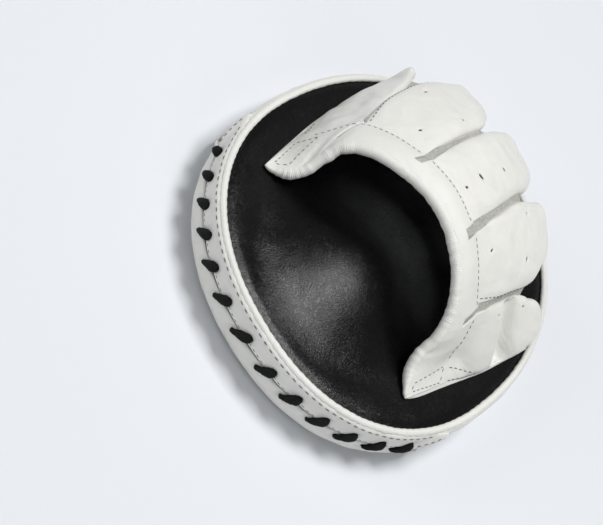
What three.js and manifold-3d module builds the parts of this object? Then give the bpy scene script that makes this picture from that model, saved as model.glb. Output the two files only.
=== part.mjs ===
// Focus mitt: a padded striking pad with a laced edge and a leather hand glove on its back.
// Millimetres, +Z up. The strike face lies on z = 0, the glove is on top, and fingers point to +Y.
import * as THREE from 'three';
import { mergeVertices } from 'three/addons/utils/BufferGeometryUtils.js';
import Module from 'manifold-3d';

const wasm = await Module();
wasm.setup();

// Driving dimensions
const padHalfWidth = 90;        // back panel, at its widest line
const wristHalfLength = 98;     // back panel, from the widest line to the wrist end
const fingerHalfLength = 118;   // back panel, from the widest line to the finger end
const roundness = 2.2;          // superellipse exponent of the outline
const widestLine = -8.2;        // y of the widest line, which centres the mitt on the origin
const clearance = 0.4;          // gap between neighbouring pieces
const leather = 1.8;            // thickness of the shell leather

const shoulderWidth = 14;       // rounded edge of the strike face, measured across
const shoulderDepth = 12;       // and measured in depth
const wallBulge = 4.2;          // how far the side wall stands outside the back panel
const seamAngle = 41;           // where the strike face is sewn to the wall, on the rounded edge
const closureHeight = 17.8;     // the laced closure in the side wall
const panelTop = 30.7;          // upper surface of the back panel

const palmRise = 14;            // the palm dome above the back panel
const palmHalfWidth = 48;
const palmHalfLength = 54;
const palmCentre = -30;         // from the widest line

const bandHalfAngle = 69;       // the laced bands run this far each side of the wrist end
const laceStitches = 13;
const laceHalfAngle = 62;       // first and last stitch, each side of the wrist end
const laceRadius = 1.5;
const laceHoleRadius = 2.1;
const laceHoleRise = 4.6;       // lace holes above and below the closure

const aroundPad = 56;           // steps round the outline
const centreRing = -60;         // the innermost ring of a flat face, from the outline

// Glove: an arch over the back panel that leans a little towards -X
const mouth = { halfWidth: 52, rise: 50, baseY: -28, topY: -5, lean: -9 };
const knuckle = { halfWidth: 62, rise: 52, baseY: -13, topY: 10, lean: -10 };
const archRoundness = 2.4;
const rollRadius = 3.4;
const archBase = 4.2;           // the arch stands this far above the back panel, on its anchors

// Finger stalls, from -X to +X: root and tip centres, widths, and heights above the back panel;
// rake is how far the lower edge of the open end reaches back towards the wrist
const stallWall = 2.2;
const tipRounding = 14;         // length of the rounded closed tip
const tipDroop = 6;             // how far a tip hangs below the line of its root
const stalls = [
  {
    name: 'stall_side_left', root: [-67, 13], tip: [-70, 66],
    width: 15, tipWidth: 14, top: 34, under: 4.8, rake: 18,
  },
  {
    name: 'stall_inner_left', root: [-43.5, 13], tip: [-41, 92],
    width: 25, tipWidth: 27, top: 48, under: 21, rake: 0,
  },
  {
    name: 'stall_middle', root: [-9.5, 13], tip: [-5.5, 96],
    width: 35, tipWidth: 34, top: 53, under: 23, rake: 0,
  },
  {
    name: 'stall_inner_right', root: [27, 13], tip: [33, 92],
    width: 28, tipWidth: 31, top: 46, under: 20, rake: 0,
  },
  {
    name: 'stall_side_right', root: [53, 12], tip: [67, 58],
    width: 15, tipWidth: 25, top: 28, under: 4.8, rake: 18,
  },
];
const gussetThickness = 1.6;
const gussetSpans = [[19, 33], [28, 42], [28, 42], [14, 26]];  // lower and upper edge of each

const white = 0xe9e7df;
const black = 0x1c1b1c;
const suede = 0xa9a79a;
const foam = 0x8f9196;

function paint(color, roughness) {
  return new THREE.MeshStandardMaterial({ color, roughness, metalness: 0 });
}

const mitt = new THREE.Group();
mitt.position.y = widestLine;

function addPiece(name, geometry, color, roughness) {
  const mesh = new THREE.Mesh(geometry, paint(color, roughness));
  mesh.name = name;
  mitt.add(mesh);
}

const radians = THREE.MathUtils.degToRad;
const signedPower = (value, power) => Math.sign(value) * Math.abs(value) ** power;

// A point of the pad's outline; angle 0 is +X, 90 is the fingers, 270 is the wrist.
function edgePoint(angle, offset, z) {
  const c = Math.cos(radians(angle));
  const s = Math.sin(radians(angle));
  const halfLength = s < 0 ? wristHalfLength : fingerHalfLength;
  const normal = new THREE.Vector2(
    signedPower(c, 2 - 2 / roundness) / padHalfWidth,
    signedPower(s, 2 - 2 / roundness) / halfLength,
  ).normalize();
  const x = padHalfWidth * signedPower(c, 2 / roundness) + offset * normal.x;
  const y = halfLength * signedPower(s, 2 / roundness) + offset * normal.y;
  return new THREE.Vector3(x, y, z);
}

// A closed body from rings of points; its two ends are closed by the given triangles or by fans.
function skin(rings, ringClosed, capTriangles) {
  const count = rings[0].length;
  const points = rings.flat();
  const faces = [];
  const wraps = ringClosed ? rings.length : rings.length - 1;
  for (let i = 0; i < wraps; i++) {
    const a = i * count;
    const b = ((i + 1) % rings.length) * count;
    for (let j = 0; j < count; j++) {
      const k = (j + 1) % count;
      faces.push([a + j, b + j, b + k], [a + j, b + k, a + k]);
    }
  }
  if (!ringClosed) {
    const last = (rings.length - 1) * count;
    if (capTriangles) {
      for (const [p, q, r] of capTriangles) {
        faces.push([p, q, r], [last + p, last + r, last + q]);
      }
    } else {
      for (const start of [0, last]) {
        const centre = new THREE.Vector3();
        for (let j = 0; j < count; j++) centre.add(points[start + j]);
        points.push(centre.divideScalar(count));
        const hub = points.length - 1;
        for (let j = 0; j < count; j++) {
          const k = (j + 1) % count;
          faces.push(start === 0 ? [hub, start + j, start + k] : [hub, start + k, start + j]);
        }
      }
    }
  }
  return solid(points, faces);
}

// Points and triangles as a geometry whose faces point outwards.
function solid(points, faces) {
  let volume = 0;
  for (const [a, b, c] of faces) {
    volume += points[a].dot(new THREE.Vector3().crossVectors(points[b], points[c]));
  }
  const positions = [];
  for (const face of faces) {
    const order = volume < 0 ? [face[0], face[2], face[1]] : face;
    for (const index of order) positions.push(...points[index].toArray());
  }
  const geometry = new THREE.BufferGeometry();
  geometry.setAttribute('position', new THREE.Float32BufferAttribute(positions, 3));
  return mergeVertices(geometry, 1e-4);
}

// A slab or a shell whose rings follow the outline: levels are [offset, z] pairs.
function padLayer(levels) {
  const rings = levels.map(([offset, z]) => {
    const ring = [];
    for (let i = 0; i < aroundPad; i++) ring.push(edgePoint(i * 360 / aroundPad, offset, z));
    return ring;
  });
  return skin(rings, false);
}

// Triangles that fill a section, turned the same way as its outline.
function sectionTriangles(section) {
  const contour = section.map(([offset, z]) => new THREE.Vector2(offset, z));
  const turn = THREE.ShapeUtils.isClockWise(contour);
  return THREE.ShapeUtils.triangulateShape(contour, []).map((triangle) => {
    const sameTurn = THREE.ShapeUtils.isClockWise(triangle.map((index) => contour[index])) === turn;
    return sameTurn ? triangle : triangle.reverse();
  });
}

// A strip whose section, a list of [offset, z], is swept along the outline.
function edgeStrip(section, startAngle, endAngle, steps) {
  const full = endAngle - startAngle >= 360;
  const rings = [];
  for (let i = 0; i < (full ? steps : steps + 1); i++) {
    const angle = startAngle + (endAngle - startAngle) * i / steps;
    rings.push(section.map(([offset, z]) => edgePoint(angle, offset, z)));
  }
  return skin(rings, full, full ? null : sectionTriangles(section));
}

// A sheet of even thickness whose middle surface is surface(u, v), both from 0 to 1.
function sheet(surface, across, along, thickness) {
  const step = 1e-3;
  const point = (i, j, side) => {
    const u = i / across;
    const v = j / along;
    const du = surface(Math.min(u + step, 1), v).sub(surface(Math.max(u - step, 0), v));
    const dv = surface(u, Math.min(v + step, 1)).sub(surface(u, Math.max(v - step, 0)));
    const normal = du.cross(dv).normalize();
    return surface(u, v).addScaledVector(normal, side * thickness / 2);
  };
  const rings = [];
  for (let i = 0; i <= across; i++) {
    const ring = [];
    for (let j = 0; j <= along; j++) ring.push(point(i, j, 1));
    for (let j = along; j >= 0; j--) ring.push(point(i, j, -1));
    rings.push(ring);
  }
  const last = 2 * along + 1;
  const cap = [];
  for (let j = 0; j < along; j++) {
    cap.push([j, j + 1, last - j - 1], [j, last - j - 1, last - j]);
  }
  return skin(rings, false, cap);
}

function toManifold(geometry) {
  const bare = geometry.clone();
  bare.deleteAttribute('normal');
  bare.deleteAttribute('uv');
  const merged = mergeVertices(bare, 1e-4);
  return new wasm.Manifold(new wasm.Mesh({
    numProp: 3,
    vertProperties: new Float32Array(merged.attributes.position.array),
    triVerts: new Uint32Array(merged.index.array),
  }));
}

function fromManifold(body) {
  const mesh = body.getMesh();
  const geometry = new THREE.BufferGeometry();
  geometry.setAttribute('position', new THREE.BufferAttribute(new Float32Array(mesh.vertProperties), 3));
  geometry.setIndex(new THREE.BufferAttribute(new Uint32Array(mesh.triVerts), 1));
  return geometry;
}

// The rounded edge of the strike face: angle 0 is the flat face, 90 is the side wall.
function shoulder(angle, inset) {
  return [
    wallBulge - shoulderWidth + (shoulderWidth - inset) * Math.sin(radians(angle)),
    shoulderDepth - (shoulderDepth - inset) * Math.cos(radians(angle)),
  ];
}

// Pad: leather shell
const flatFaceOffset = wallBulge - shoulderWidth;
const faceAngles = [15, 29, seamAngle];
const outerFace = faceAngles.map((angle) => shoulder(angle, 0));
const innerFace = faceAngles.map((angle) => shoulder(angle, leather)).reverse();
addPiece('strike_face_panel', padLayer([
  [centreRing, 0], [flatFaceOffset, 0], ...outerFace,
  ...innerFace, [flatFaceOffset, leather], [centreRing, leather],
]), white, 0.45);

const bandAngles = [seamAngle + 3, 62, 78, 90];
const frontTop = closureHeight - clearance;
const frontSection = [
  ...bandAngles.map((angle) => shoulder(angle, 0)),
  [wallBulge, frontTop],
  [wallBulge - leather, frontTop],
  ...bandAngles.map((angle) => shoulder(angle, leather)).reverse(),
];
const backBottom = closureHeight + clearance;
const backSection = [
  [wallBulge, backBottom], [4.1, 24], [4.1, 28], [3.8, 30.2], [2.9, 30.9],
  [2.9, 29.2], [2.3, 28], [2.3, 24], [wallBulge - leather, backBottom],
];
const gussetSection = [...frontSection.slice(0, bandAngles.length), ...backSection.slice(0, 8),
  ...frontSection.slice(bandAngles.length + 2)];

// The lace whips over the closure: up outside, through the back band, and down inside.
const laceOver = wallBulge + laceRadius + clearance;
const laceUnder = wallBulge - leather - laceRadius - clearance;
const laceStep = 2 * laceHalfAngle / (laceStitches - 1);
const laceSlant = 0.16 * laceStep;
const lowHole = closureHeight - laceHoleRise;
const highHole = closureHeight + laceHoleRise;
const lacePath = [];
const laceHoles = [];
for (let i = 0; i < laceStitches; i++) {
  const angle = 270 - laceHalfAngle + i * laceStep;
  const low = angle - laceSlant;
  const high = angle + laceSlant;
  const next = angle + laceStep - laceSlant;
  lacePath.push(
    edgePoint(low, laceUnder, lowHole),
    edgePoint(low, wallBulge - leather / 2, lowHole),
    edgePoint(low, laceOver - 0.5, lowHole + 0.5),
    edgePoint(angle, laceOver + 0.3, closureHeight),
    edgePoint(high, laceOver - 0.7, highHole - 0.5),
    edgePoint(high, 5.3, highHole),
    edgePoint(high, laceUnder, highHole),
  );
  if (i < laceStitches - 1) lacePath.push(edgePoint((high + next) / 2, laceUnder, closureHeight));
  laceHoles.push([low, lowHole], [high, highHole]);
}
const laceCurve = new THREE.CatmullRomCurve3(lacePath, false, 'centripetal');
const laceSection = new THREE.Shape();
laceSection.absarc(0, 0, laceRadius, 0, 2 * Math.PI);
const laceBody = new THREE.ExtrudeGeometry(laceSection, {
  curveSegments: 3, steps: lacePath.length, extrudePath: laceCurve, bevelEnabled: false,
});
laceBody.deleteAttribute('normal');
laceBody.deleteAttribute('uv');

function holePin(angle, z) {
  const outer = edgePoint(angle, wallBulge + 4, z);
  const inner = edgePoint(angle, wallBulge - 8, z);
  const pin = new THREE.CylinderGeometry(laceHoleRadius, laceHoleRadius, outer.distanceTo(inner), 8);
  const turn = new THREE.Quaternion().setFromUnitVectors(
    new THREE.Vector3(0, 1, 0),
    outer.clone().sub(inner).normalize(),
  );
  pin.applyQuaternion(turn);
  const middle = outer.add(inner).multiplyScalar(0.5);
  pin.translate(middle.x, middle.y, middle.z);
  return toManifold(pin);
}

function laced(section) {
  let body = toManifold(edgeStrip(section, 270 - bandHalfAngle, 270 + bandHalfAngle, 30));
  for (const [angle, z] of laceHoles) body = body.subtract(holePin(angle, z));
  return fromManifold(body);
}
addPiece('front_lacing_band', laced(frontSection), white, 0.5);
addPiece('back_lacing_band', laced(backSection), white, 0.5);
const gussetGap = 0.4;          // degrees between the laced bands and the finger-end wall
addPiece('finger_end_wall', edgeStrip(gussetSection,
  270 + bandHalfAngle + gussetGap - 360, 270 - bandHalfAngle - gussetGap, 40), white, 0.5);
addPiece('rim_binding', edgeStrip([
  [2.5, 28.9], [2.5, 31.2], [1.9, 31.9], [0.6, 31.9], [0, 31.2], [0, 28.9],
], 0, 360, aroundPad), white, 0.5);
addPiece('closure_lace', laceBody, black, 0.9);

// Pad: foam layers, held clear of the lace
const coreOffset = -1.5;
addPiece('strike_foam', padLayer([
  [centreRing, 2.3], [-10.8, 2.3], [-5.8, 4.4], [coreOffset - 0.6, 8], [coreOffset, 12], [centreRing, 12],
]), foam, 0.9);
addPiece('shock_core', padLayer([[coreOffset, 12.4], [coreOffset, 18.6]]), foam, 0.9);
addPiece('back_foam', padLayer([[coreOffset, 19], [coreOffset, 27.2], [-3.5, 28.4]]), foam, 0.9);

// Back panel and the palm dome below it
function palmLift(x, y) {
  const spread = (x / palmHalfWidth) ** 2 + ((y - palmCentre) / palmHalfLength) ** 2;
  return spread < 1 ? palmRise * (1 - spread) ** 1.2 : 0;
}

function panelRing(fraction, offset, z) {
  const ring = [];
  for (let i = 0; i < aroundPad; i++) {
    const edge = edgePoint(i * 360 / aroundPad, offset, 0);
    const x = edge.x * fraction;
    const y = palmCentre + (edge.y - palmCentre) * fraction;
    ring.push(new THREE.Vector3(x, y, z + palmLift(x, y)));
  }
  return ring;
}
const panelFractions = [0.08, 0.2, 0.32, 0.44, 0.56, 0.72, 1];
const panelEdge = -0.5;
addPiece('back_panel', skin([
  ...panelFractions.map((fraction) => panelRing(fraction, panelEdge, panelTop)),
  ...panelFractions.map((fraction) => panelRing(fraction, panelEdge, panelTop - leather)).reverse(),
], false), black, 0.5);

function palmRing(fraction, lift) {
  const ring = [];
  for (let i = 0; i < 36; i++) {
    const x = palmHalfWidth * fraction * Math.cos(radians(10 * i));
    const y = palmCentre + palmHalfLength * fraction * Math.sin(radians(10 * i));
    const top = panelTop - leather - clearance + palmLift(x, y);
    ring.push(new THREE.Vector3(x, y, lift ? top : palmFoamBase));
  }
  return ring;
}
const palmEdge = 0.92;
const palmFoamBase = 28.7;      // it rests on the back foam
const palmFractions = [0.12, 0.3, 0.5, 0.68, 0.82, palmEdge];
addPiece('palm_dome_foam', skin([
  ...palmFractions.map((fraction) => palmRing(fraction, true)),
  palmRing(palmEdge, false), palmRing(0.12, false),
], false), foam, 0.9);

// Glove arch: half an oval over the back panel, from -X (u = 0) to +X (u = 1)
function archPoint(rib, u, inset) {
  const angle = Math.PI * (1 - u);
  const x = (rib.halfWidth - inset) * signedPower(Math.cos(angle), 2 / archRoundness);
  const rise = (rib.rise - inset - archBase) * Math.max(Math.sin(angle), 0) ** (2 / archRoundness);
  const share = rise / (rib.rise - archBase);
  return new THREE.Vector3(
    x + rib.lean * share ** 0.7,
    rib.baseY + (rib.topY - rib.baseY) * share,
    panelTop + archBase + rise,
  );
}

function arch(inset, from, to) {
  return (u, v) => {
    const t = from + (to - from) * v;
    return archPoint(mouth, u, inset).lerp(archPoint(knuckle, u, inset), t);
  };
}
const liningThickness = 1;
const liningInset = leather + 3 * clearance;
addPiece('cuff_band', sheet(arch(0, 0, 0.98), 32, 3, leather), white, 0.5);
addPiece('glove_lining', sheet(arch(liningInset, 0.02, 0.94), 32, 3, liningThickness), black, 0.9);

const rollPath = [];
for (let i = 1; i < 24; i++) {
  const bead = archPoint(mouth, i / 24, 1);
  bead.y -= rollRadius + leather / 2 + clearance;
  rollPath.push(bead);
}
const rollSection = new THREE.Shape();
rollSection.absarc(0, 0, rollRadius, 0, 2 * Math.PI);
const rollBody = new THREE.ExtrudeGeometry(rollSection, {
  curveSegments: 4, steps: 40, extrudePath: new THREE.CatmullRomCurve3(rollPath), bevelEnabled: false,
});
rollBody.deleteAttribute('normal');
rollBody.deleteAttribute('uv');
addPiece('cuff_roll', rollBody, white, 0.5);

// Anchors: the flat leather wings that sew the arch down, one each side
const anchorOutline = [[66, -43], [71, -20], [75, 2], [68, 4], [60, -4], [56, -18], [53, -30], [56, -38]];
for (const [name, side] of [['glove_anchor_left', -1], ['glove_anchor_right', 1]]) {
  const wing = new THREE.Shape(anchorOutline.map(([x, y]) => new THREE.Vector2(side * x, y)));
  const body = new THREE.ExtrudeGeometry(wing, { depth: 2, bevelEnabled: false });
  body.translate(0, 0, panelTop + 2 * clearance);
  body.deleteAttribute('normal');
  body.deleteAttribute('uv');
  addPiece(name, body, white, 0.5);
}

// Finger stalls: tubes with a rounded closed tip, open towards the hand
function stallRing(stall, distance, shrink, inset) {
  const along = new THREE.Vector2(stall.tip[0] - stall.root[0], stall.tip[1] - stall.root[1]);
  const t = distance / along.length();
  const centreX = stall.root[0] + along.x * t;
  const centreY = stall.root[1] + along.y * t;
  const width = THREE.MathUtils.lerp(stall.width, stall.tipWidth, t);
  const droop = tipDroop * t * t;
  const middle = panelTop + (stall.top + stall.under) / 2 - droop;
  const halfHeight = ((stall.top - stall.under) / 2 - inset) * shrink;
  const halfWidth = (width / 2 - inset) * shrink;
  const ring = [];
  for (let i = 0; i < 16; i++) {
    const angle = radians(22.5 * i);
    const lift = signedPower(Math.sin(angle), 0.8);
    const back = distance === 0 ? stall.rake * (1 - lift) / 2 : 0;
    ring.push(new THREE.Vector3(
      centreX + halfWidth * signedPower(Math.cos(angle), 0.8),
      centreY - back,
      middle + halfHeight * lift,
    ));
  }
  return ring;
}

function stallRings(stall, inset) {
  const length = Math.hypot(stall.tip[0] - stall.root[0], stall.tip[1] - stall.root[1]) - inset;
  const cap = tipRounding - inset;
  const rings = [stallRing(stall, 0, 1, inset), stallRing(stall, (length - cap) / 2, 1, inset)];
  for (const angle of [0, 30, 55, 75]) {
    const distance = length - cap + cap * Math.sin(radians(angle));
    rings.push(stallRing(stall, distance, Math.cos(radians(angle)), inset));
  }
  return rings;
}

for (const stall of stalls) {
  addPiece(stall.name, skin([
    ...stallRings(stall, 0).reverse(),
    ...stallRings(stall, stallWall),
  ], false), white, 0.5);
}

// Suede gussets: thin strips in the slits between neighbouring stalls
function stallSide(stall, y, side) {
  const t = (y - stall.root[1]) / (stall.tip[1] - stall.root[1]);
  const centre = THREE.MathUtils.lerp(stall.root[0], stall.tip[0], t);
  return centre + side * THREE.MathUtils.lerp(stall.width, stall.tipWidth, t) / 2;
}

for (let i = 0; i < stalls.length - 1; i++) {
  const left = stalls[i];
  const right = stalls[i + 1];
  const slit = (y) => new THREE.Vector2((stallSide(left, y, 1) + stallSide(right, y, -1)) / 2, y);
  const start = slit(left.root[1] + 3);
  const end = slit(Math.min(left.tip[1], right.tip[1]) - tipRounding);
  const [under, top] = gussetSpans[i];
  const strip = new THREE.BoxGeometry(gussetThickness, start.distanceTo(end), top - under);
  strip.rotateZ(Math.atan2(start.x - end.x, end.y - start.y));
  strip.translate((start.x + end.x) / 2, (start.y + end.y) / 2, panelTop + (top + under) / 2);
  strip.deleteAttribute('normal');
  strip.deleteAttribute('uv');
  addPiece(`slit_gusset_${i + 1}`, strip, suede, 0.95);
}

export default mitt;
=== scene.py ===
import math
import bmesh
import bpy
from mathutils import Matrix, Vector, noise


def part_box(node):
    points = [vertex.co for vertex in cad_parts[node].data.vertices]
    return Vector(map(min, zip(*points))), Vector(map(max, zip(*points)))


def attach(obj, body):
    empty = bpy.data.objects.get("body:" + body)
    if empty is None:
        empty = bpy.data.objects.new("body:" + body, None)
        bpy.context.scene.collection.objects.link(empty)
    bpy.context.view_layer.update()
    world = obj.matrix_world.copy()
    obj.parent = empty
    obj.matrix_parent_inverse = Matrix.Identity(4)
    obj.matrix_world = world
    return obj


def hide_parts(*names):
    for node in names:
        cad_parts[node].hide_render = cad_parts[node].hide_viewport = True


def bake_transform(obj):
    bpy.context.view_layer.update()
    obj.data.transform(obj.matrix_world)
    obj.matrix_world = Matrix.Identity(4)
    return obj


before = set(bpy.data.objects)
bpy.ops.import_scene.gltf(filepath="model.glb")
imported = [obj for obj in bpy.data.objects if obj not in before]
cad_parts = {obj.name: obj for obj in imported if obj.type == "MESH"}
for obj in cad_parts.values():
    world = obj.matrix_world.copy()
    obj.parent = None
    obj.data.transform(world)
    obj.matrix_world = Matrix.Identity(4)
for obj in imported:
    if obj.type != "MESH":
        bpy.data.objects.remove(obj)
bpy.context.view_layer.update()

print("frame loaded")

# Everything below is worked out in millimetres, with y from the pad's widest line
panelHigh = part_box("back_panel")[1]
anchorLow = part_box("glove_anchor_left")[0]
pad = {
    "halfWidth": panelHigh.x * 1000 + 0.5,
    "wristLength": 98.0,
    "fingerLength": 118.0,
    "roundness": 2.2,           # superellipse exponent of the outline
    "panelTop": anchorLow.z * 1000 - 0.8,
    "shoulderWidth": 14.0,      # rounded edge of the strike face
    "shoulderDepth": 12.0,
    "bulge": 4.2,               # side wall outside the back panel
    "closure": 17.8,            # height of the laced closure
    "leather": 1.8,
}
widestLine = panelHigh.y * 1000 - pad["fingerLength"] + 0.5


def toFrame(p):
    return Vector((p[0], p[1] + widestLine, p[2])) / 1000


def onPanel(p):
    return Vector((p[0], p[1], p[2] + pad["panelTop"]))


def signedPower(value, power):
    return math.copysign(abs(value) ** power, value)


def mix(a, b, t):
    return a + (b - a) * t


def ease(t):
    t = min(max(t, 0.0), 1.0)
    return t * t * (3 - 2 * t)


def edgeAt(angle, offset, z):  # a point of the outline: 0 is +X, 90 the fingers, 270 the wrist
    c, s = math.cos(math.radians(angle)), math.sin(math.radians(angle))
    length = pad["wristLength"] if s < 0 else pad["fingerLength"]
    power = 2 / pad["roundness"]
    normal = Vector((
        signedPower(c, 2 - power) / pad["halfWidth"],
        signedPower(s, 2 - power) / length,
    )).normalized()
    x = pad["halfWidth"] * signedPower(c, power) + offset * normal.x
    y = length * signedPower(s, power) + offset * normal.y
    return Vector((x, y, z))


def smoothCurve(points):  # through the given points; t runs from 0 to 1 by chord length
    pts = [Vector(p) for p in points]
    knots = [0.0]
    for a, b in zip(pts, pts[1:]):
        knots.append(knots[-1] + (b - a).length)
    knots = [k / knots[-1] for k in knots]
    slopes = []
    for i in range(len(pts)):
        a, b = max(i - 1, 0), min(i + 1, len(pts) - 1)
        slopes.append((pts[b] - pts[a]) / (knots[b] - knots[a]))

    def at(t):
        t = min(max(t, 0.0), 1.0)
        i = 0
        while i < len(pts) - 2 and t > knots[i + 1]:
            i += 1
        h = knots[i + 1] - knots[i]
        s = (t - knots[i]) / h
        return (pts[i] * (2 * s ** 3 - 3 * s ** 2 + 1) + slopes[i] * h * (s ** 3 - 2 * s ** 2 + s)
                + pts[i + 1] * (3 * s ** 2 - 2 * s ** 3) + slopes[i + 1] * h * (s ** 3 - s ** 2))

    return at, knots


def linear(values, t):  # evenly spaced values, read at t from 0 to 1
    t = min(max(t, 0.0), 1.0) * (len(values) - 1)
    i = min(int(t), len(values) - 2)
    return mix(values[i], values[i + 1], t - i)


def ripple(p, scale, seed=0.0):
    return noise.noise(Vector((p[0] / scale + seed, p[1] / scale - seed, p[2] / scale)))


def finishObject(name, bm, materials, smooth=True):
    mesh = bpy.data.meshes.new(name)
    bm.to_mesh(mesh)
    bm.free()
    for m in materials:
        mesh.materials.append(m)
    for f in mesh.polygons:
        f.use_smooth = smooth
    piece = bpy.data.objects.new(name, mesh)
    bpy.context.scene.collection.objects.link(piece)
    return piece


def surfaceMesh(surface, across, along, drop=None):  # a grid laid on surface(u, v)
    bm = bmesh.new()
    bmesh.ops.create_grid(bm, x_segments=across, y_segments=along, size=0.5)
    uvLayer = bm.loops.layers.uv.new("surface")
    for f in bm.faces:
        for loop in f.loops:
            loop[uvLayer].uv = (loop.vert.co.x + 0.5, loop.vert.co.y + 0.5)
    if drop:
        gone = [f for f in bm.faces
                if drop(f.calc_center_median().x + 0.5, f.calc_center_median().y + 0.5)]
        bmesh.ops.delete(bm, geom=gone, context="FACES")
    for v in bm.verts:
        v.co = toFrame(surface(v.co.x + 0.5, v.co.y + 0.5))
    bmesh.ops.remove_doubles(bm, verts=bm.verts, dist=2e-5)
    bmesh.ops.dissolve_degenerate(bm, edges=bm.edges, dist=1e-6)
    return bm


def faceAway(bm, inside):  # turns a sheet so that its front faces away from a point, in millimetres
    bmesh.ops.recalc_face_normals(bm, faces=bm.faces)
    heart = toFrame(inside)
    facing = sum(f.calc_area() * f.normal.dot(f.calc_center_median() - heart) for f in bm.faces)
    if facing < 0:
        bmesh.ops.reverse_faces(bm, faces=bm.faces)


def applyModifiers(piece):
    graph = bpy.context.evaluated_depsgraph_get()
    final = bpy.data.meshes.new_from_object(piece.evaluated_get(graph), depsgraph=graph)
    piece.modifiers.clear()
    old = piece.data
    piece.data = final
    bpy.data.meshes.remove(old)
    final.name = piece.name


def thicken(piece, thickness, inner=0, rim=0, levels=1):
    wall = piece.modifiers.new("wall", "SOLIDIFY")
    wall.thickness = thickness / 1000
    wall.offset = -1
    wall.material_offset = inner
    wall.material_offset_rim = rim
    if levels:
        smooth = piece.modifiers.new("smooth", "SUBSURF")
        smooth.levels = levels
        smooth.render_levels = levels
    bpy.context.view_layer.update()
    applyModifiers(piece)


def capsule(bm, middle, direction, up, length, width, height):  # one stitch of thread
    made = bmesh.ops.create_uvsphere(bm, u_segments=6, v_segments=4, radius=1.0)
    y = direction.normalized()
    x = y.cross(up).normalized()
    z = x.cross(y)
    turn = Matrix((x, y, z)).transposed().to_4x4()
    size = Matrix.Diagonal((width / 2000, length / 2000, height / 2000, 1))
    flip = Matrix.Rotation(math.pi / 2, 4, "X")
    bmesh.ops.transform(bm, matrix=Matrix.Translation(toFrame(middle)) @ turn @ size @ flip,
                        verts=made["verts"])


def stitchAlong(bm, at, normalAt, start, end, pitch, length=3.0, width=0.75, height=0.55, lift=0.12):
    # at(t) is a curve; stitches of even pitch between the two values of t
    samples = 240
    points = [at(mix(start, end, i / samples)) for i in range(samples + 1)]
    run = [0.0]
    for a, b in zip(points, points[1:]):
        run.append(run[-1] + (b - a).length)
    count = max(int(run[-1] / pitch), 1)
    for k in range(count):
        s = (k + 0.5) * run[-1] / count
        i = next(j for j in range(samples) if run[j + 1] >= s)
        share = (s - run[i]) / max(run[i + 1] - run[i], 1e-9)
        p = points[i].lerp(points[i + 1], share)
        t = mix(start, end, (i + share) / samples)
        up = normalAt(t)
        capsule(bm, p + up * lift, points[i + 1] - points[i], up, length, width, height)


def nodeGroup(name, inputs, outputs):
    group = bpy.data.node_groups.new(name, "ShaderNodeTree")
    for label, kind, value in inputs:
        socket = group.interface.new_socket(label, in_out="INPUT", socket_type=kind)
        if value is not None:
            socket.default_value = value
    for label, kind in outputs:
        group.interface.new_socket(label, in_out="OUTPUT", socket_type=kind)
    start = group.nodes.new("NodeGroupInput")
    end = group.nodes.new("NodeGroupOutput")
    return group, start, end


def mathNode(tree, operation, a, b):
    node = tree.nodes.new("ShaderNodeMath")
    node.operation = operation
    for socket, value in zip(node.inputs, (a, b)):
        if isinstance(value, (int, float)):
            socket.default_value = value
        else:
            tree.links.new(value, socket)
    return node.outputs[0]


def leatherGrain():  # pebbles between fine creases, as a height
    group, start, end = nodeGroup(
        "leatherGrain",
        [("Vector", "NodeSocketVector", None), ("Pebbles per metre", "NodeSocketFloat", 900.0),
         ("Crease", "NodeSocketFloat", 0.5), ("Wrinkle", "NodeSocketFloat", 0.0)],
        [("Height", "NodeSocketFloat"), ("Crease mask", "NodeSocketFloat")])
    link = group.links.new
    warp = group.nodes.new("ShaderNodeTexNoise")
    warp.inputs["Scale"].default_value = 260
    link(start.outputs["Vector"], warp.inputs["Vector"])
    push = group.nodes.new("ShaderNodeVectorMath")
    push.operation = "MULTIPLY_ADD"
    push.inputs[1].default_value = (0.0011, 0.0011, 0.0011)
    link(warp.outputs["Color"], push.inputs[0])
    link(start.outputs["Vector"], push.inputs[2])
    cells = group.nodes.new("ShaderNodeTexVoronoi")
    cells.feature = "DISTANCE_TO_EDGE"
    link(push.outputs[0], cells.inputs["Vector"])
    link(start.outputs["Pebbles per metre"], cells.inputs["Scale"])
    ridge = group.nodes.new("ShaderNodeMapRange")
    ridge.interpolation_type = "SMOOTHSTEP"
    ridge.inputs["From Max"].default_value = 0.32
    link(cells.outputs["Distance"], ridge.inputs["Value"])
    fine = group.nodes.new("ShaderNodeTexNoise")
    fine.inputs["Scale"].default_value = 1700
    fine.inputs["Detail"].default_value = 4
    link(start.outputs["Vector"], fine.inputs["Vector"])
    creased = mathNode(group, "MULTIPLY", ridge.outputs["Result"], start.outputs["Crease"])
    soft = mathNode(group, "MULTIPLY", fine.outputs["Fac"], 0.35)
    slack = group.nodes.new("ShaderNodeTexNoise")
    slack.inputs["Scale"].default_value = 70
    slack.inputs["Detail"].default_value = 5
    slack.inputs["Roughness"].default_value = 0.62
    slack.inputs["Distortion"].default_value = 0.8
    link(start.outputs["Vector"], slack.inputs["Vector"])
    folded = mathNode(group, "MULTIPLY", slack.outputs["Fac"], start.outputs["Wrinkle"])
    link(mathNode(group, "ADD", mathNode(group, "ADD", creased, soft), folded), end.inputs["Height"])
    link(ridge.outputs["Result"], end.inputs["Crease mask"])
    return group


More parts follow.
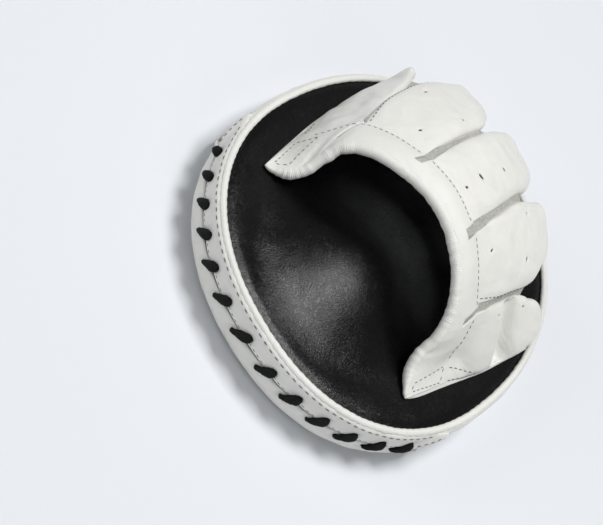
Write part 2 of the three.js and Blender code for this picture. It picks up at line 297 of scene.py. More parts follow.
def softTone():  # slow drift between two colours, as on a dyed hide
    group, start, end = nodeGroup(
        "softTone",
        [("Vector", "NodeSocketVector", None), ("Light", "NodeSocketColor", (1, 1, 1, 1)),
         ("Dark", "NodeSocketColor", (0, 0, 0, 1)), ("Patches per metre", "NodeSocketFloat", 30.0)],
        [("Color", "NodeSocketColor"), ("Patch", "NodeSocketFloat")])
    link = group.links.new
    patch = group.nodes.new("ShaderNodeTexNoise")
    patch.inputs["Detail"].default_value = 3
    link(start.outputs["Vector"], patch.inputs["Vector"])
    link(start.outputs["Patches per metre"], patch.inputs["Scale"])
    spread = group.nodes.new("ShaderNodeMapRange")
    spread.inputs["From Min"].default_value = 0.3
    spread.inputs["From Max"].default_value = 0.7
    link(patch.outputs["Fac"], spread.inputs["Value"])
    blend = group.nodes.new("ShaderNodeMix")
    blend.data_type = "RGBA"
    link(spread.outputs["Result"], blend.inputs["Factor"])
    link(start.outputs["Dark"], blend.inputs["A"])
    link(start.outputs["Light"], blend.inputs["B"])
    link(blend.outputs["Result"], end.inputs["Color"])
    link(spread.outputs["Result"], end.inputs["Patch"])
    return group


grainGroup = leatherGrain()
toneGroup = softTone()


def hide(name, light, dark, roughness, pebbles, crease, depth, patches=25.0, roughSpread=0.06, wrinkle=0.0,
         **extra):
    material = bpy.data.materials.new(name)
    material.use_nodes = True
    tree = material.node_tree
    shader = tree.nodes["Principled BSDF"]
    where = tree.nodes.new("ShaderNodeTexCoord")
    tone = tree.nodes.new("ShaderNodeGroup")
    tone.node_tree = toneGroup
    tone.inputs["Light"].default_value = (*light, 1)
    tone.inputs["Dark"].default_value = (*dark, 1)
    tone.inputs["Patches per metre"].default_value = patches
    tree.links.new(where.outputs["Object"], tone.inputs["Vector"])
    tree.links.new(tone.outputs["Color"], shader.inputs["Base Color"])
    grain = tree.nodes.new("ShaderNodeGroup")
    grain.node_tree = grainGroup
    grain.inputs["Pebbles per metre"].default_value = pebbles
    grain.inputs["Crease"].default_value = crease
    grain.inputs["Wrinkle"].default_value = wrinkle
    tree.links.new(where.outputs["Object"], grain.inputs["Vector"])
    rough = tree.nodes.new("ShaderNodeMapRange")
    rough.inputs["To Min"].default_value = roughness + roughSpread
    rough.inputs["To Max"].default_value = roughness - roughSpread
    tree.links.new(grain.outputs["Crease mask"], rough.inputs["Value"])
    tree.links.new(rough.outputs["Result"], shader.inputs["Roughness"])
    bump = tree.nodes.new("ShaderNodeBump")
    bump.inputs["Strength"].default_value = 1.0
    bump.inputs["Distance"].default_value = depth / 1000
    tree.links.new(grain.outputs["Height"], bump.inputs["Height"])
    tree.links.new(bump.outputs["Normal"], shader.inputs["Normal"])
    for label, value in extra.items():
        shader.inputs[label.replace("_", " ")].default_value = value
    return material


whiteLeather = hide("whiteLeather", (0.83, 0.822, 0.78), (0.785, 0.775, 0.73), 0.44, 1500, 0.5, 0.07,
                    wrinkle=13.0, Specular_IOR_Level=0.4)
blackLeather = hide("blackLeather", (0.002, 0.0018, 0.002), (0.0012, 0.001, 0.0012), 0.25, 1050, 1.0, 0.045,
                    patches=60, wrinkle=1.3, roughSpread=0.03, Specular_IOR_Level=0.28)
greySuede = hide("greySuede", (0.72, 0.72, 0.66), (0.46, 0.46, 0.42), 0.93, 2600, 0.6, 0.35, patches=900,
                 Sheen_Weight=0.25)
blackLace = hide("blackLace", (0.007, 0.007, 0.0075), (0.003, 0.003, 0.0035), 0.8, 2200, 0.7, 0.3,
                 patches=300, Specular_IOR_Level=0.3)
# Black cloth lining inside the glove; its black is also painted shade for the mouth's interior and behind the
# stall perforations.
blackLiningAndShade = hide("blackLiningAndShade", (0.010, 0.010, 0.011), (0.006, 0.006, 0.007), 0.9, 3000, 0.6, 0.15,
                   patches=400)
foamCell = hide("foamCell", (0.30, 0.31, 0.33), (0.24, 0.25, 0.27), 0.9, 1800, 0.8, 0.2, patches=200)
darkThread = hide("darkThread", (0.20, 0.195, 0.185), (0.11, 0.105, 0.10), 0.7, 4000, 0.5, 0.08, patches=700)
print("materials made")


def shoulderAt(angle, inset=0.0):  # the strike face's rounded edge, as offset and height
    a = math.radians(angle)
    return (pad["bulge"] - pad["shoulderWidth"] + (pad["shoulderWidth"] - inset) * math.sin(a),
            pad["shoulderDepth"] - (pad["shoulderDepth"] - inset) * math.cos(a))


def section(points):  # a wall's section, through offset and height pairs
    return smoothCurve([(offset, z, 0) for offset, z in points])[0]


def along(profile, t):
    p = profile(t)
    return p.x, p.y


faceSetting = {"seamAngle": 41, "flatShare": 0.7, "around": 220, "rings": 46, "give": 0.25}


def makeStrikeFace():
    flatOffset = pad["bulge"] - pad["shoulderWidth"]
    centre = Vector((0, 8, 0))
    flat = faceSetting["flatShare"]

    def surface(u, v):
        angle = 360 * u
        if v < flat:
            edge = edgeAt(angle, flatOffset, 0)
            share = v / flat
            p = centre.lerp(edge, share)
            p.z = faceSetting["give"] * (1 + ripple(p, 26)) * ease((1 - share) * 4) * ease(share * 8)
            return p
        offset, z = shoulderAt(faceSetting["seamAngle"] * (v - flat) / (1 - flat))
        return edgeAt(angle, offset, z)

    bm = surfaceMesh(surface, faceSetting["around"], faceSetting["rings"])
    faceAway(bm, (0, 0, 200))
    piece = finishObject("strikeFace", bm, [whiteLeather])
    thicken(piece, pad["leather"], levels=0)
    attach(piece, "pad")
    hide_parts("strike_face_panel")


lace = {
    "stitches": 13, "halfAngle": 62, "slant": 0.19, "rise": 4.0, "drift": 1.6,
    "thin": 1.0, "fat": 2.75, "pucker": 0.9, "around": 5.2, "low": 3.7,
}
laceStep = 2 * lace["halfAngle"] / (lace["stitches"] - 1)
laceAngles = []
for i in range(lace["stitches"]):
    sag = lace["drift"] * math.sin(math.pi * i / (lace["stitches"] - 1))
    laceAngles.append(270 - lace["halfAngle"] + i * laceStep - sag)
laceHoles = []
for angle in laceAngles:
    laceHoles.append((angle - lace["slant"] * laceStep, pad["closure"] - lace["low"]))
    laceHoles.append((angle + lace["slant"] * laceStep, pad["closure"] + lace["rise"]))
holePoints = [edgeAt(a, pad["bulge"], z) for a, z in laceHoles]


def pulledIn(p):  # how far the lace draws the leather in at a point of the wall
    depth = 0.0
    for q in holePoints:
        d = (p - q).length
        if d < 3 * lace["around"]:
            depth += lace["pucker"] * math.exp(-(d / lace["around"]) ** 2 * 2)
            depth += 0.5 * lace["pucker"] * math.exp(-(d / 1.9) ** 2)
    return depth


wall = {
    "front": section([shoulderAt(44), shoulderAt(60), shoulderAt(76), shoulderAt(90),
                      (4.3, 14.6), (4.2, 16.7), (3.5, 17.65)]),
    "back": section([(3.5, 17.95), (4.2, 18.9), (4.4, 21), (4.4, 24), (4.2, 27), (3.7, 29.3), (2.3, 30.6)]),
    "fingers": section([shoulderAt(44), shoulderAt(60), shoulderAt(76), shoulderAt(90), (4.4, 16),
                        (4.5, 20), (4.4, 24), (4.2, 27), (3.7, 29.3), (2.3, 30.6)]),
    "endAtRim": 75.4, "endAtClosure": 66.2, "lap": 2.0, "lapWidth": 6.0, "underlap": 5.0,
    "turnDepth": 1.2, "turnWidth": 0.6, "wrinkle": 0.35, "leather": 1.5,
}


def bandEnd(z):  # the bands' ends slant: half the angle that they span at a height
    away = abs(z - pad["closure"]) / 13
    return mix(wall["endAtClosure"], wall["endAtRim"], ease(min(away, 1)))


def wallPoint(profile, angle, t, proud=0.0):
    offset, z = along(profile, t)
    p = edgeAt(angle, offset + proud, z)
    out = edgeAt(angle, offset + proud + 1, z) - p
    return p - out * (pulledIn(p) - wall["wrinkle"] * ripple(p, 9)), out


def makeBand(name, key, node):
    profile = wall[key]

    def surface(u, v):
        offset, z = along(profile, v)
        half = bandEnd(z)
        angle = 270 - half + 2 * half * u
        fromEnd = min(u, 1 - u) * 2 * half
        proud = wall["lap"] * ease(1 - fromEnd / wall["lapWidth"])
        p, out = wallPoint(profile, angle, v, proud)
        if fromEnd < wall["turnWidth"]:  # the end is turned under
            p -= out * wall["turnDepth"] * (1 - fromEnd / wall["turnWidth"]) ** 2
        return p

    bm = surfaceMesh(surface, 300, 16)
    faceAway(bm, (0, 0, 18))
    piece = finishObject(name, bm, [whiteLeather])
    thicken(piece, wall["leather"])
    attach(piece, "pad")
    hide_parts(node)


def makeFingerWall():
    profile = wall["fingers"]

    def surface(u, v):
        offset, z = along(profile, v)
        half = 180 - bandEnd(z) + wall["underlap"]
        return wallPoint(profile, 90 - half + 2 * half * u, v)[0]

    bm = surfaceMesh(surface, 300, 24)
    faceAway(bm, (0, 0, 18))
    piece = finishObject("fingerWall", bm, [whiteLeather])
    thicken(piece, wall["leather"])
    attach(piece, "pad")
    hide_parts("finger_end_wall")


rim = {"offset": 0.9, "z": 30.3, "radius": 1.75, "pucker": 0.22, "pitch": 4.6, "turns": 690}


def makeRimBinding():
    perimeter = sum((edgeAt(i + 1, 0, 0) - edgeAt(i, 0, 0)).length for i in range(360))
    puckers = round(perimeter / rim["pitch"])

    def surface(u, v):
        p = edgeAt(360 * u, 0, 0)
        wave = abs(math.sin(math.pi * puckers * u + 1.2 * ripple(p, 15)))
        radius = rim["radius"] - rim["pucker"] * (1 - wave) + 0.15 * ripple(p, 7)
        a = 2 * math.pi * v
        return edgeAt(360 * u, rim["offset"] + 1.15 * radius * math.cos(a), rim["z"] + radius * math.sin(a))

    bm = surfaceMesh(surface, rim["turns"], 12)
    bmesh.ops.recalc_face_normals(bm, faces=bm.faces)
    piece = finishObject("rimBinding", bm, [whiteLeather])
    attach(piece, "pad")
    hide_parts("rim_binding")


palm = {"rise": 14.4, "halfWidth": 56.0, "halfLength": 62.0, "centre": -30.0, "edgeDip": 0.9, "shape": 1.9,
        "pillow": 0.42, "leather": 1.5}


def palmLift(x, y):
    spread = (x / palm["halfWidth"]) ** 2 + ((y - palm["centre"]) / palm["halfLength"]) ** 2
    return palm["rise"] * (1 - spread) ** palm["shape"] if spread < 1 else 0.0


def panelHeight(x, y):
    return pad["panelTop"] + palmLift(x, y)


def makeBackPanel():
    centre = Vector((0, palm["centre"], 0))

    def surface(u, v):
        edge = edgeAt(360 * u, -0.2, 0)
        p = centre.lerp(edge, v)
        inward = (1 - v) * (edge - centre).length
        dip = palm["edgeDip"] * (1 - ease(inward / 6))
        pillow = palm["pillow"] * ease(inward / 9) * (1 - ease((inward - 9) / 14))
        p.z = panelHeight(p.x, p.y) - dip + pillow + 0.25 * ripple(p, 14)
        return p

    bm = surfaceMesh(surface, 320, 90)
    faceAway(bm, (0, 0, -200))
    piece = finishObject("backPanel", bm, [blackLeather])
    thicken(piece, palm["leather"], levels=0)
    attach(piece, "pad")
    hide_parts("back_panel")


def makeLace():
    curve = bpy.data.curves.new("closureLace", "CURVE")
    curve.dimensions = "3D"
    curve.bevel_depth = 0.001
    curve.bevel_resolution = 3
    curve.use_fill_caps = True
    curve.resolution_u = 7
    path = []
    out, under = pad["bulge"] + 1.2, pad["bulge"] - 3.4
    for i, angle in enumerate(laceAngles):
        low, high = angle - lace["slant"] * laceStep, angle + lace["slant"] * laceStep
        z, rise, drop = pad["closure"], lace["rise"], lace["low"]
        path += [
            (edgeAt(low, under, z - drop), 0.9),
            (edgeAt(low, pad["bulge"] - 0.8, z - drop - 0.2), lace["thin"]),
            (edgeAt(low + 0.2, out - 0.9, z - drop + 0.5), lace["thin"] * 1.1),
            (edgeAt(mix(low, high, 0.35), out - 0.3, z - 0.6), 1.7),
            (edgeAt(mix(low, high, 0.75), out - 0.5, z + 2.2), lace["fat"]),
            (edgeAt(high, out - 1.3, z + rise - 0.6), lace["fat"] * 0.97),
            (edgeAt(high, under + 0.8, z + rise), 1.3),
        ]
        if i < lace["stitches"] - 1:
            path.append((edgeAt(angle + laceStep / 2, under, z), 1.0))
    spline = curve.splines.new("NURBS")
    spline.points.add(len(path) - 1)
    spline.order_u = 4
    spline.use_endpoint_u = True
    for point, (p, radius) in zip(spline.points, path):
        point.co = (*toFrame(p), 1)
        point.radius = radius
    drawn = bpy.data.objects.new("laceCurve", curve)
    bpy.context.scene.collection.objects.link(drawn)
    bpy.context.view_layer.update()
    graph = bpy.context.evaluated_depsgraph_get()
    mesh = bpy.data.meshes.new_from_object(drawn.evaluated_get(graph))
    bpy.data.objects.remove(drawn)
    bm = bmesh.new()
    bm.from_mesh(mesh)
    bpy.data.meshes.remove(mesh)
    bmesh.ops.remove_doubles(bm, verts=bm.verts, dist=1e-6)
    bmesh.ops.subdivide_edges(bm, edges=bm.edges, cuts=1, use_grid_fill=True)
    bmesh.ops.recalc_face_normals(bm, faces=bm.faces)
    bm.normal_update()
    for v in bm.verts:
        p = v.co * 1000
        v.co += v.normal * (0.22 * ripple(p, 1.6) + 0.18 * ripple(p, 0.7, 3.0)) / 1000
    piece = finishObject("closureLace", bm, [blackLace])
    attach(piece, "pad")
    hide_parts("closure_lace")


makeStrikeFace()
makeBand("frontBand", "front", "front_lacing_band")
makeBand("backBand", "back", "back_lacing_band")
makeFingerWall()
makeRimBinding()
makeBackPanel()
makeLace()
for node in ("strike_foam", "shock_core", "back_foam", "palm_dome_foam"):
    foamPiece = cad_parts[node]
    foamPiece.data.materials.clear()
    foamPiece.data.materials.append(foamCell)
print("pad made")

# The glove, from its knuckle seam and its mouth; heights are above the back panel
seamPoints = [
    (-70.5, -15, 2), (-67.5, -10, 12), (-63.5, -4, 23), (-59.5, 1, 31.5), (-46.5, 5, 40.6),
    (-30.2, 8.1, 48.2), (-26, 9, 49.7), (-8, 10, 52.2), (10.3, 9.3, 50.3), (15.8, 8.6, 48.8),
    (31, 5.2, 41.6), (46, 1.3, 32), (49.8, 0, 29.2), (56.5, -4.5, 19.5), (61.5, -9.5, 9), (70.5, -15.5, 2),
]
mouthPoints = [
    (-66, -43.3, 1.2), (-60.5, -41.5, 2.4), (-55, -38.6, 5.6), (-52.2, -34, 11.5), (-52.8, -27.5, 20),
    (-52.2, -21.5, 28.5), (-44, -15.2, 36.6), (-29.5, -10.8, 42.6), (-13, -7.6, 46.6), (3, -7.6, 46.6),
    (17, -10, 43.4), (29, -13.6, 38.6), (40, -19.4, 31), (47, -27, 21), (49.3, -34, 11.5),
    (54.5, -39.8, 4.6), (64.5, -46, 1.2),
]
seamCurve, seamKnots = smoothCurve([onPanel(p) for p in seamPoints])
mouthCurve = smoothCurve([onPanel(p) for p in mouthPoints])[0]
slitKnots = [(3, 3), (5, 6), (8, 9), (11, 12)]  # which seam points stand each side of a slit
notches = {"from": (0.38, 0.5, 0.5, 0.45), "inset": (-0.007, 0.001, 0.001, 0.003)}
cuff = {"roll": 3.1, "rollAtCorner": 1.1, "crown": 1.6, "across": 380, "along": 22, "leather": 1.6}


def bandFrame(u):  # mouth point, and the directions along, forwards and outwards there
    step = 0.004
    mouth = mouthCurve(u)
    tangent = (mouthCurve(min(u + step, 1)) - mouthCurve(max(u - step, 0))).normalized()
    forward = seamCurve(u) - mouth
    forward = (forward - tangent * forward.dot(tangent)).normalized()
    outward = tangent.cross(forward).normalized()
    return mouth, tangent, forward, outward


def rollRadius(u):
    return mix(cuff["rollAtCorner"], cuff["roll"], ease(min(u, 1 - u) / 0.07))


def bandSurface(u, v):  # v runs from the roll to the knuckle seam
    mouth, tangent, forward, outward = bandFrame(u)
    radius = rollRadius(u)
    start = mouth + forward * radius + outward * radius * 0.96
    end = seamCurve(u)
    p = start.lerp(end, v)
    p += outward * cuff["crown"] * math.sin(math.pi * v) * ease(min(u, 1 - u) / 0.12)
    p += outward * 0.35 * ripple(p, 11)
    return p


def inNotch(u, v):  # slits run on a little way into the cuff band
    for (a, b), root, inset in zip(slitKnots, notches["from"], notches["inset"]):
        if v > root and seamKnots[a] + inset < u < seamKnots[b] - inset:
            return True
    return False


def makeCuff():
    bm = surfaceMesh(bandSurface, cuff["across"], cuff["along"], drop=inNotch)
    faceAway(bm, (0, -25, 40))
    band = finishObject("cuffBand", bm, [whiteLeather, blackLiningAndShade])
    # The band's inner face takes the black lining, which also paints the shade inside the mouth.
    thicken(band, cuff["leather"], inner=1)
    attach(band, "pad")
    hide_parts("cuff_band")

    def rollSurface(u, v):
        mouth, tangent, forward, outward = bandFrame(u)
        close = math.sqrt(min(min(u, 1 - u) / 0.012, 1.0))
        radius = rollRadius(u) * close
        a = 2 * math.pi * v
        fine = 0.11 * math.sin(2 * math.pi * 205 * u + 3.0 * ripple(mouth, 4)) + 0.45 * ripple(mouth, 2.6)
        bulge = radius + fine * close * (0.6 + 0.4 * math.cos(a))
        centre = mouth + forward * rollRadius(u)
        return centre - forward * bulge * math.cos(a) + outward * bulge * math.sin(a)

    bm = surfaceMesh(rollSurface, 940, 14)
    bmesh.ops.recalc_face_normals(bm, faces=bm.faces)
    roll = finishObject("cuffRoll", bm, [whiteLeather])
    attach(roll, "pad")
    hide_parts("cuff_roll")

    # A black lining sheet under the cuff band; its black is partly painted shade inside the mouth.
    def liningSurface(u, v):
        s = mix(0.06, 0.94, u)
        mouth, tangent, forward, outward = bandFrame(s)
        return bandSurface(s, mix(0.02, 0.97, v)) - outward * (cuff["leather"] + 0.5)

    bm = surfaceMesh(liningSurface, 120, 10)
    faceAway(bm, (0, -25, 40))
    lining = finishObject("gloveLining", bm, [blackLiningAndShade])
    thicken(lining, 0.7)
    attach(lining, "pad")
    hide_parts("glove_lining")


wings = {
    "glove_anchor_left": [(-66, -43.5), (-68.2, -32), (-70.8, -16), (-73.4, 1), (-75.2, 20), (-75.8, 38),
                          (-75.6, 52), (-74.6, 64), (-73, 75)],
    "glove_anchor_right": [(64.6, -46.6), (68.2, -36), (71.6, -17.6), (74.6, -2), (77.2, 10.5), (79.2, 28),
                           (80.6, 41), (81.4, 52)],
}
wing = {"width": 9.0, "lift": 0.35, "rise": 1.5, "overRim": 1.6, "leather": 1.2}


def makeWings():
    for node, points in wings.items():
        side = -1 if points[0][0] < 0 else 1
        curve = smoothCurve([(x, y, 0) for x, y in points])[0]

        def surface(u, v, curve=curve, side=side):
            p = curve(mix(0.035, 1, u))
            taper = (0.55 + 0.45 * ease(u / 0.08)) * (0.3 + 0.7 * ease((1 - u) / 0.07))
            p.x -= side * wing["width"] * v * taper
            lift = wing["lift"] + wing["rise"] * ease(v / 0.35)
            over = ease((abs(p.x) - 70) / 40) * ease((p.y - 38) / 14)
            p.z = pad["panelTop"] + lift + wing["overRim"] * over + 0.12 * ripple(p, 8)
            return p

        bm = surfaceMesh(surface, 120, 10)
        faceAway(bm, (0, 0, -200))
        name = "gloveAnchorLeft" if side < 0 else "gloveAnchorRight"
        piece = finishObject(name, bm, [whiteLeather])
        thicken(piece, wing["leather"])
        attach(piece, "pad")
        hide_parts(node)


# Each finger: its two slit edges from the knuckle seam to the tip, and how far it stands above and below them
fingers = {
    "stall_side_left": {
        "body": "side_left_finger",
        "left": [(-70.5, -15, 2), (-73, 1, 2), (-74.4, 20, 2), (-75, 38, 2.5), (-74.6, 54, 3.5),
                 (-73, 67, 9)],
        "right": [(-59.5, 1, 30.5), (-61.5, 14, 30), (-63.5, 28, 29.5), (-65.8, 42, 28.8), (-68, 54, 27.5),
                  (-71.3, 64, 24)],
        "crown": [0.5, 2.0, 2.5, 2.0], "depth": [5, 9, 8, 5], "cap": 5.5,
        "holes": [],
        "hems": [(0.44, 0.03, 0.16)],
    },
    "stall_inner_left": {
        "body": "inner_left_finger",
        "left": [(-59.5, 1, 31.5), (-62, 15, 32), (-63.2, 30, 31.5), (-63.2, 45, 30.5), (-61, 62, 28.5),
                 (-57, 75, 26.5), (-54.5, 82, 25)],
        "right": [(-30.2, 8.1, 48.2), (-29.8, 22, 47.2), (-29, 40, 45.4), (-28, 56, 42.6), (-27, 70, 38),
                  (-29, 81, 32)],
        "crown": [0.8, 4.5, 6, 6], "depth": [8, 19, 19, 15], "cap": 11,
        "holes": [(0.32, 0.43), (0.20, 0.13), (0.15, 0.45)],
        "hems": [(0.47, 0.02, 0.72)],
    },
    "stall_middle": {
        "body": "middle_finger",
        "left": [(-26, 9, 49.7), (-26.4, 24, 48.6), (-26, 42, 46.2), (-25, 58, 42.8), (-23.4, 72, 38.5),
                 (-20.5, 86, 33)],
        "right": [(10.3, 9.3, 50.3), (10.4, 24, 49.4), (10.4, 42, 46.6), (10.3, 58, 42.6), (12, 70, 38),
                  (11, 79, 34)],
        "crown": [1.6, 4.5, 6, 6], "depth": [8, 21, 21, 17], "cap": 12,
        "holes": [(0.23, 0.09), (0.24, 0.24), (0.23, 0.45), (0.26, 0.79)],
        "hems": [],
    },
    "stall_inner_right": {
        "body": "inner_right_finger",
        "left": [(15.8, 8.6, 48.8), (14.6, 22, 47.8), (13.8, 40, 45), (13.6, 56, 41.4), (15.6, 68, 37),
                 (19, 81, 32)],
        "right": [(46, 1.3, 32.2), (47.8, 14, 31.6), (49.6, 28, 30.5), (51.5, 41, 28.5), (51, 53, 27),
                  (47.5, 65, 25.5)],
        "crown": [0.8, 4.5, 6, 6], "depth": [8, 18, 18, 15], "cap": 12,
        "holes": [(0.36, 0.57), (0.30, 0.12), (0.21, 0.48)],
        "hems": [(0.035, 0.02, 0.78)],
    },
    "stall_side_right": {
        "body": "side_right_finger",
        "left": [(49.8, 0, 29.2), (50.4, 11, 28.4), (51.6, 24, 26.6), (53.2, 36, 25.5), (55.6, 44, 24),
                 (58.5, 49, 21)],
        "right": [(70.5, -15.5, 2), (73.8, 0, 2), (76.4, 14, 2), (78.6, 29, 2.2), (79.6, 40, 4), (79, 46, 7)],
        "crown": [0.5, 3.0, 3.5, 4.5], "depth": [5, 9, 9, 8], "cap": 11,
        "holes": [(0.35, 0.32), (0.35, 0.66)],
        "hems": [(0.012, 0.02, 0.3), (0.1, 0.02, 0.22)],
        "fold": {"at": 0.63, "width": 0.085, "depth": 9.0},
    },
}
fingerCurves = {}
for name, f in fingers.items():
    fingerCurves[name] = [smoothCurve([onPanel(p) for p in f[key]])[0] for key in ("left", "right")]
seamSpans = {"stall_side_left": (0, 3), "stall_inner_left": (3, 5), "stall_middle": (6, 8),
             "stall_inner_right": (9, 11), "stall_side_right": (12, 15)}
stall = {"rootReach": 2.2, "rootSink": 0.75,  # how far a stall's root runs back under the cuff band
         "tubeShare": 0.8,  # the rest of a stall's length is its rounded tip
         "openUntil": 0.13, "leather": 1.6}


def fingerPoint(name, turn, s):  # turn: 0 right edge, 0.25 top, 0.5 left edge; s: seam to tip
    f = fingers[name]
    leftCurve, rightCurve = fingerCurves[name]
    t = min(s / stall["tubeShare"], 1.0)
    left, right = leftCurve(t), rightCurve(t)
    ahead = leftCurve(min(t + 0.02, 1)) + rightCurve(min(t + 0.02, 1))
    behind = leftCurve(max(t - 0.02, 0)) + rightCurve(max(t - 0.02, 0))
    forward = (ahead - behind).normalized()
    middle = (left + right) / 2
    half = (right - left) / 2
    up = half.cross(forward).normalized()
    crown, depth = linear(f["crown"], t), linear(f["depth"], t)
    a = 2 * math.pi * turn
    c, d = signedPower(math.cos(a), 0.72), signedPower(math.sin(a), 0.86)
    height = crown * d if d > 0 else depth * d
    if "fold" in f and d > 0:
        fold = f["fold"]
        shallow = mix(0.8, 1, (1 - c) / 2)  # the valley is deepest at the slit
        height -= fold["depth"] * shallow * ease(d * 1.1) * math.exp(-((t - fold["at"]) / fold["width"]) ** 2)
        height = max(height, -0.45 * depth * d)
    p = middle + half * c + up * height
    if t < 0.3:
        a, b = (seamKnots[k] for k in seamSpans[name])
        share = turn / 0.5 if turn <= 0.5 else (1 - turn) / 0.5
        first = seamCurve(mix(b, a, share))
        mouth, tangent, ahead, outward = bandFrame(min(max(mix(b, a, share), 0.02), 0.98))
        below = 0 if turn <= 0.5 else min(depth, 5) * math.sin(math.pi * share)
        reach = stall["rootReach"] * math.sin(math.pi * min(max(share, 0.0), 1.0)) ** 0.5
        root = first - ahead * reach * (1 - ease(t / 0.06)) - outward * (stall["rootSink"] + below)
        base = (leftCurve(0) + rightCurve(0)) / 2 + (rightCurve(0) - leftCurve(0)) / 2 * c
        lift = linear(f["crown"], 0) * d if d > 0 else linear(f["depth"], 0) * d
        base += up * lift
        p += (root - base) * (1 - ease(t / 0.3))
    if s > stall["tubeShare"]:
        phi = (s - stall["tubeShare"]) / (1 - stall["tubeShare"]) * math.pi / 2
        core = middle - up * (depth - crown) * 0.5
        p = core + (p - core) * math.cos(phi) ** 0.9 + forward * f["cap"] * math.sin(phi)
    root = 1 - ease(t / 0.12)
    p += up * (0.9 * ripple(p, 14, 2.0) + 0.45 * ripple(p, 6, 5.0)) * (1 - root) * (1 if d > -0.2 else 0.4)
    return p


fingerGrid = (72, 54)


def makeFinger(node):
    f = fingers[node]
    holes = {(int(turn * fingerGrid[0]), int(s * fingerGrid[1])) for turn, s in f["holes"]}

    def surface(u, v):
        return fingerPoint(node, u, v)

    def isOpen(u, v):  # perforations, and the mouth of the stall below the knuckle seam
        column, row = int(u * fingerGrid[0]), int(v * fingerGrid[1])
        return (column, row) in holes or (u > 0.5 and v < stall["openUntil"])

    bm = surfaceMesh(surface, *fingerGrid, drop=isOpen)
    bmesh.ops.recalc_face_normals(bm, faces=bm.faces)
    top = max(bm.faces, key=lambda face: face.calc_center_median().z)
    if top.normal.z < 0:
        bmesh.ops.reverse_faces(bm, faces=bm.faces)
    parts = node.split("_")
    name = parts[0] + "".join(word.capitalize() for word in parts[1:])
    piece = finishObject(name, bm, [whiteLeather, blackLiningAndShade])
    # Stall insides take the black lining, which also paints shade behind the perforations; the folded stall
    # stays white inside.
    thicken(piece, stall["leather"], inner=0 if "fold" in f else 1)
    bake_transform(piece)
    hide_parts(node)


gussets = [
    ("slit_gusset_1", "stall_side_left", "stall_inner_left", "inner_left_finger", 1.3),
    ("slit_gusset_2", "stall_inner_left", "stall_middle", "middle_finger", 1.0),
    ("slit_gusset_3", "stall_middle", "stall_inner_right", "middle_finger", 1.0),
    ("slit_gusset_4", "stall_inner_right", "stall_side_right", "inner_right_finger", 1.3),
]


gusset = {"from": -0.18, "to": 0.93, "underEdge": 2.2, "sag": 0.55, "tipDrop": 5.0,
          "underBand": 1.7, "suede": 1.0}


def makeGussets():
    for (node, leftName, rightName, body, sink), (first, last) in zip(gussets, slitKnots):
        a, b = fingerCurves[leftName][1], fingerCurves[rightName][0]

        def surface(u, v):
            t = mix(gusset["from"], gusset["to"], v)
            p, q = a(max(t, 0)), b(max(t, 0))
            gap = q - p
            wide = gap.normalized() * gusset["underEdge"] * (1 - 0.9 * ease((t - 0.75) / 0.18))
            if gap.length < 1:
                wide = Vector((2.4, 0, 0))
            left, right = p - wide, q + wide
            point = left.lerp(right, u)
            if t < 0:
                k = mix(seamKnots[first] - 0.016, seamKnots[last] + 0.016, u)
                return bandSurface(k, 1 + 3.4 * t) - bandFrame(k)[3] * gusset["underBand"]
            drop = gusset["tipDrop"] * ease((t - 0.8) / 0.2)
            point.z -= sink + gusset["sag"] * (1 - (2 * u - 1) ** 2) + drop
            return point

        bm = surfaceMesh(surface, 10, 70)
        faceAway(bm, (0, 30, 0))
        parts = node.split("_")
        piece = finishObject(parts[0] + parts[1].capitalize() + parts[2], bm, [greySuede])
        thicken(piece, gusset["suede"])
        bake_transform(piece)
        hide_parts(node)


rows = {
    "wallReach": 80,  # degrees each side of the wrist that the wall's rows are measured in
    "rim": {"t": 0.82, "half": 72.0, "pitch": 4.3, "length": 2.6},
    "closure": {"t": 0.16, "half": 64.0, "pitch": 3.2, "length": 1.9},
    "face": {"angle": 33.0, "pitch": 3.6, "length": 2.5},
    "knuckle": {"v": 0.9, "pitch": 2.9, "length": 2.0},
    "wing": {"pitch": 3.0, "length": 2.1},
    "boxes": [((0.014, 0.02), (0.055, 0.085), 0.78), ((0.988, 0.992), (0.968, 0.95), 0.84)],
    "hem": {"pitch": 3.0, "length": 2.1},
}


def outwardAt(surface, u, v, inside):
    step = 0.004
    du = surface(min(u + step, 1), v) - surface(max(u - step, 0), v)
    dv = surface(u, min(v + step, 1)) - surface(u, max(v - step, 0))
    n = du.cross(dv).normalized()
    return n if n.dot(surface(u, v) - Vector(inside)) > 0 else -n


def rowOn(bm, surface, inside, path, start, end, row, **shape):  # path(t) gives u and v on the surface
    def at(t):
        return surface(*path(t))

    def normalAt(t):
        return outwardAt(surface, *path(t), inside)

    stitchAlong(bm, at, normalAt, start, end, row["pitch"], row["length"], **shape)


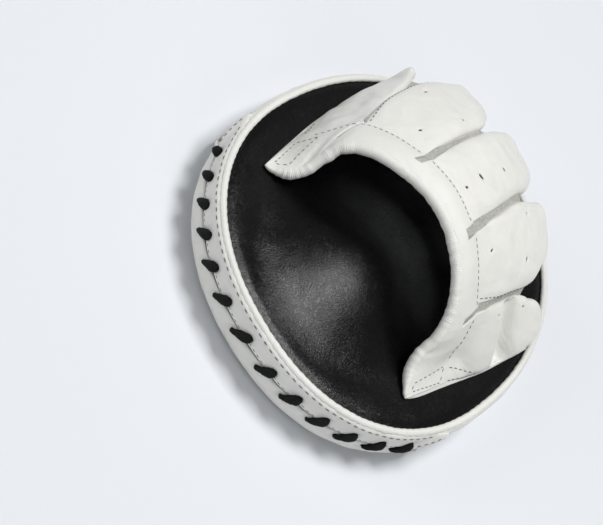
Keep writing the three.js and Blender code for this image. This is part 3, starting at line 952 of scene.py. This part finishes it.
def makePadThread():
    bm = bmesh.new()
    heart = (0, 0, pad["closure"])
    reach = rows["wallReach"]

    def backWall(u, v):
        return wallPoint(wall["back"], 270 + reach * (2 * u - 1), v)[0]

    def rimPath(t):
        return 0.5 + 0.5 * t * rows["rim"]["half"] / reach, rows["rim"]["t"]

    def closurePath(t):
        return 0.5 + 0.5 * t * rows["closure"]["half"] / reach, rows["closure"]["t"]

    rowOn(bm, backWall, heart, rimPath, -1, 1, rows["rim"], width=0.75, lift=0.0)
    rowOn(bm, backWall, heart, closurePath, -1, 1, rows["closure"], width=0.5, height=0.35, lift=-0.05)

    def face(u, v):
        offset, z = shoulderAt(90 * v)
        return edgeAt(360 * u, offset, z)

    def facePath(t):
        return t, rows["face"]["angle"] / 90

    rowOn(bm, face, heart, facePath, 0, 1, rows["face"], lift=0.05)

    def bandPath(t):
        return t, rows["knuckle"]["v"]

    below = (-5, -30, 30)
    for first, last in seamSpans.values():
        start, end = seamKnots[first] + 0.004, seamKnots[last] - 0.004
        if first == 0:
            start = seamKnots[1]
        if last == 15:
            end = seamKnots[14]
        rowOn(bm, bandSurface, below, bandPath, start, end, rows["knuckle"], width=0.5, lift=0.02)
    for outer, inner, far in rows["boxes"]:
        corners = [(outer[0], 0.12), (outer[1], far), (inner[1], far), (inner[0], 0.12), (outer[0], 0.12)]
        for (u0, v0), (u1, v1) in zip(corners, corners[1:]):
            rowOn(bm, bandSurface, (0, -25, 20), lambda t: (mix(u0, u1, t), mix(v0, v1, t)), 0, 1,
                  rows["wing"], width=0.5, lift=0.04)
    for near in (-1, 1):  # the bands' lapped ends
        def endPath(t, near=near):
            offset, z = along(wall["back"], t)
            half = bandEnd(z) - 2.0
            return 0.5 + 0.5 * near * half / reach, t
        rowOn(bm, backWall, heart, endPath, 0.1, 0.8, rows["wing"], width=0.55, lift=wall["lap"] * 0.8)
    piece = finishObject("padThread", bm, [darkThread])
    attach(piece, "pad")


def toMiddle(node):
    left, right = fingerCurves[node]
    return (left(0.5) + right(0.5)) / 2 - Vector((0, 0, 6))


def makeFingerThread():
    for node, f in fingers.items():
        if not f["hems"]:
            continue
        bm = bmesh.new()
        for turn, start, end in f["hems"]:
            rowOn(bm, lambda u, v: fingerPoint(node, u, v), toMiddle(node), lambda t: (turn, t), start, end,
                  rows["hem"], width=0.6, lift=0.08)
        parts = node.split("_")
        piece = finishObject("hem" + "".join(word.capitalize() for word in parts[1:]), bm, [darkThread])
        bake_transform(piece)


makeCuff()
makeWings()
for node in fingers:
    makeFinger(node)
makeGussets()
makePadThread()
makeFingerThread()
print("glove made")

camera = {"target": (0.0, 0.0118, 0.0307), "elevation": 40.9, "azimuth": -0.5, "roll": 58.5,
          "distance": 1.0, "lens": 118.2, "aside": (0.0535, 0.0127)}


def makeCamera():
    el, az, roll = (math.radians(camera[k]) for k in ("elevation", "azimuth", "roll"))
    back = Vector((math.sin(az) * math.cos(el), -math.cos(az) * math.cos(el), math.sin(el)))
    right = Vector((math.cos(az), math.sin(az), 0))
    up = back.cross(right)
    right, up = (right * math.cos(roll) + up * math.sin(roll),
                 up * math.cos(roll) - right * math.sin(roll))
    target = Vector(camera["target"])
    place = target + back * camera["distance"]
    aim = target - right * camera["aside"][0] - up * camera["aside"][1]
    away = (place - aim).normalized()
    side = up.cross(away).normalized()
    data = bpy.data.cameras.new("camera")
    data.lens = camera["lens"]
    data.clip_start, data.clip_end = 0.05, 20
    body = bpy.data.objects.new("camera", data)
    turn = Matrix((side, away.cross(side), away)).transposed().to_4x4()
    body.matrix_world = Matrix.Translation(place) @ turn
    bpy.context.scene.collection.objects.link(body)
    bpy.context.scene.camera = body


lamps = {
    "topLamp": {"from": (0.0, 0.27, 2.0), "size": 0.75, "watts": 30},
    "sideLamp": {"from": (1.3, -0.8, 1.3), "size": 1.1, "watts": 5},
    "wristLamp": {"from": (-1.4, -1.2, 1.1), "size": 1.1, "watts": 8},
}


studio = {"colour": (0.93, 0.96, 1.0, 1), "strength": 0.2}


def makeLight():
    for name, lamp in lamps.items():
        data = bpy.data.lights.new(name, "AREA")
        data.size = lamp["size"]
        data.energy = lamp["watts"]
        body = bpy.data.objects.new(name, data)
        body.location = lamp["from"]
        body.rotation_euler = Vector(lamp["from"]).to_track_quat("Z", "Y").to_euler()
        bpy.context.scene.collection.objects.link(body)
    world = bpy.data.worlds.new("studio")
    world.use_nodes = True
    background = world.node_tree.nodes["Background"]
    background.inputs["Color"].default_value = studio["colour"]
    background.inputs["Strength"].default_value = studio["strength"]
    bpy.context.scene.world = world
    bpy.context.scene.view_settings.view_transform = "Standard"


def makeFloor():
    bm = bmesh.new()
    bmesh.ops.create_grid(bm, x_segments=1, y_segments=1, size=6)
    floorPaint = hide("floorPaint", (0.80, 0.82, 0.85), (0.79, 0.81, 0.84), 0.8, 200, 0.0, 0.01, patches=2)
    floor = finishObject("floor", bm, [floorPaint], smooth=False)
    floor.location.z = -0.0002


makeCamera()
makeLight()
makeFloor()
print("studio made")
